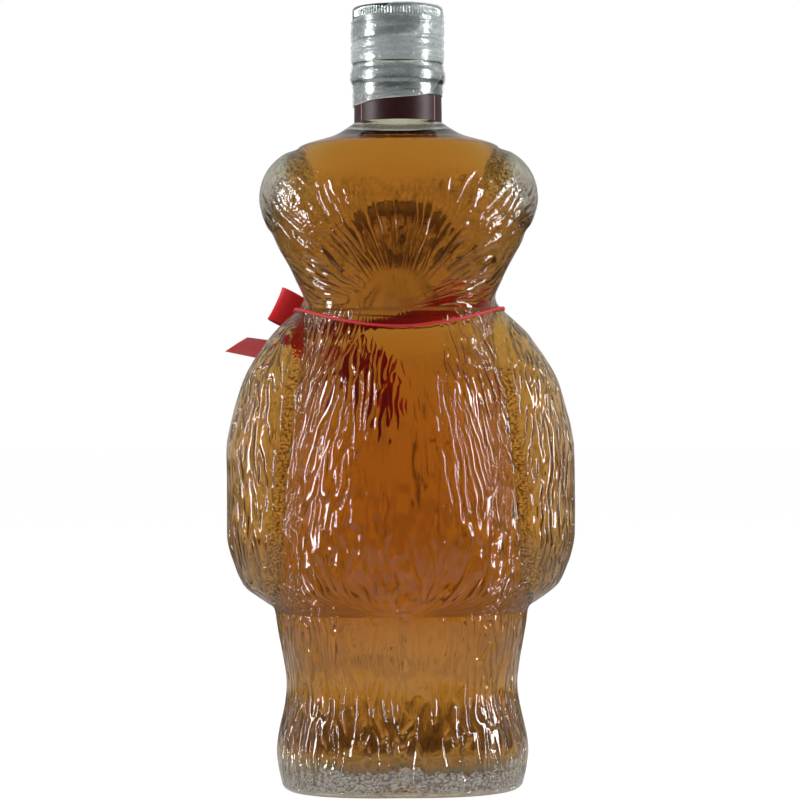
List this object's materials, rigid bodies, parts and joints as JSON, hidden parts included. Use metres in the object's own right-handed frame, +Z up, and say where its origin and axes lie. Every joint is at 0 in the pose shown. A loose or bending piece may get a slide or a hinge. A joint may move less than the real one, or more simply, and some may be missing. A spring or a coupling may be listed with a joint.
{
  "type": "whisky bottle",
  "caption": "Bear-shaped pressed glass whisky bottle with roll-on screw cap, tamper band, seal film, neck label and ribbon bow on an elastic cord.",
  "frame": {"origin": "centre of the base on the resting surface, on the neck's axis", "axes": "+Z up along the neck's axis; the bear looks along -Y; +X is to its left"},
  "size_m": [0.1096, 0.0781, 0.24],
  "materials": {
    "clear_glass": "polished",
    "whisky": "polished",
    "cap_aluminium": "satin",
    "liner_foam": "matte",
    "clear_film": "gloss",
    "label_paper": "matte",
    "elastic_red": "matte",
    "ribbon_satin": "satin"
  },
  "bodies": {
    "bottle": {"glass_bottle": "clear_glass", "whisky_fill": "whisky", "neck_label": "label_paper", "seal_film_lower": "clear_film", "elastic_cord": "elastic_red", "bow_knot": "ribbon_satin", "bow_loop_left": "ribbon_satin", "bow_loop_right": "ribbon_satin", "bow_tail_left": "ribbon_satin", "bow_tail_right": "ribbon_satin"},
    "liner": {"cap_liner": "liner_foam"},
    "cap": {"cap_shell": "cap_aluminium", "seal_film_upper": "clear_film"},
    "band": {"tamper_band": "cap_aluminium"}
  },
  "joints": [
    {"name": "cap_rise", "type": "slide", "parent": "bottle", "child": "liner", "axis": [0, 0, 1], "range_m": [0, 0.0052]},
    {"name": "cap_twist", "type": "hinge", "parent": "liner", "child": "cap", "pos_m": [0, 0, 0.238], "axis": [0, 0, 1], "range_deg": [0, 576]},
    {"name": "band_spin", "type": "hinge", "parent": "bottle", "child": "band", "pos_m": [0, 0, 0.2183], "axis": [0, 0, 1], "continuous": true}
  ],
  "couplings": [
    {"joint": "cap_rise", "follows": "cap_twist", "m_per_rad": 0.00050611}
  ]
}
